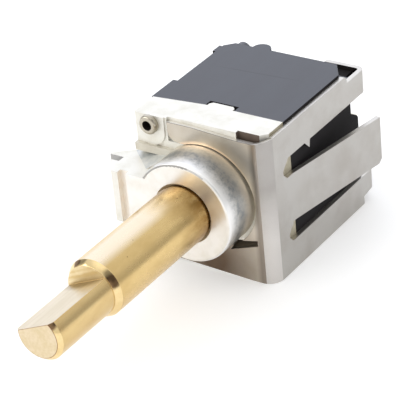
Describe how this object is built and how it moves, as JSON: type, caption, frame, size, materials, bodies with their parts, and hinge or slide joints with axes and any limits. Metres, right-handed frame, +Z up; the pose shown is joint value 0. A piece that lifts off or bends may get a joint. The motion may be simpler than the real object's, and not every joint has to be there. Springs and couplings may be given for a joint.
{
  "type": "rotary switch",
  "caption": "Panel-mount rotary selector switch: brass half-moon shaft in a die-cast bushing with an anti-turn ear, on a black body held by a folded steel clip frame.",
  "frame": {"origin": "on the shaft axis, in the plane of the clip frame's front face, inside the length of the bushing neck", "axes": "+Y along the shaft axis towards the terminals, +Z up, +X to the right seen from the knob side"},
  "size_m": [0.0196, 0.0483, 0.016],
  "materials": {
    "shaft_brass": "turned and polished",
    "zinc": "bare die-cast zinc, satin",
    "plated_steel": "nickel-plated, satin",
    "rivet_steel": "nickel-plated",
    "spring_steel": "bright",
    "contact_brass": "silver-plated",
    "moulding": "fine matt moulding",
    "acetal": "natural",
    "board": "laminate"
  },
  "bodies": {
    "switch_body": {"front_casting": "zinc", "clip_frame": "plated_steel", "housing": "moulding", "rear_cover": "moulding", "tubular_rivet_upper": "rivet_steel", "tubular_rivet_lower": "rivet_steel", "thrust_washer": "spring_steel", "detent_spring_upper": "spring_steel", "detent_spring_lower": "spring_steel", "contact_board": "board", "terminal_1": "contact_brass", "terminal_2": "contact_brass", "terminal_3": "contact_brass", "terminal_4": "contact_brass", "terminal_5": "contact_brass", "terminal_6": "contact_brass", "common_terminal": "contact_brass"},
    "spindle": {"shaft": "shaft_brass", "retaining_ring": "spring_steel", "detent_wheel": "acetal", "rotor": "acetal", "wiper": "contact_brass"}
  },
  "joints": [
    {"name": "shaft_turn", "type": "hinge", "parent": "switch_body", "child": "spindle", "pos_m": [0, 0, 0], "axis": [0, 1, 0], "range_deg": [0, 300]}
  ]
}
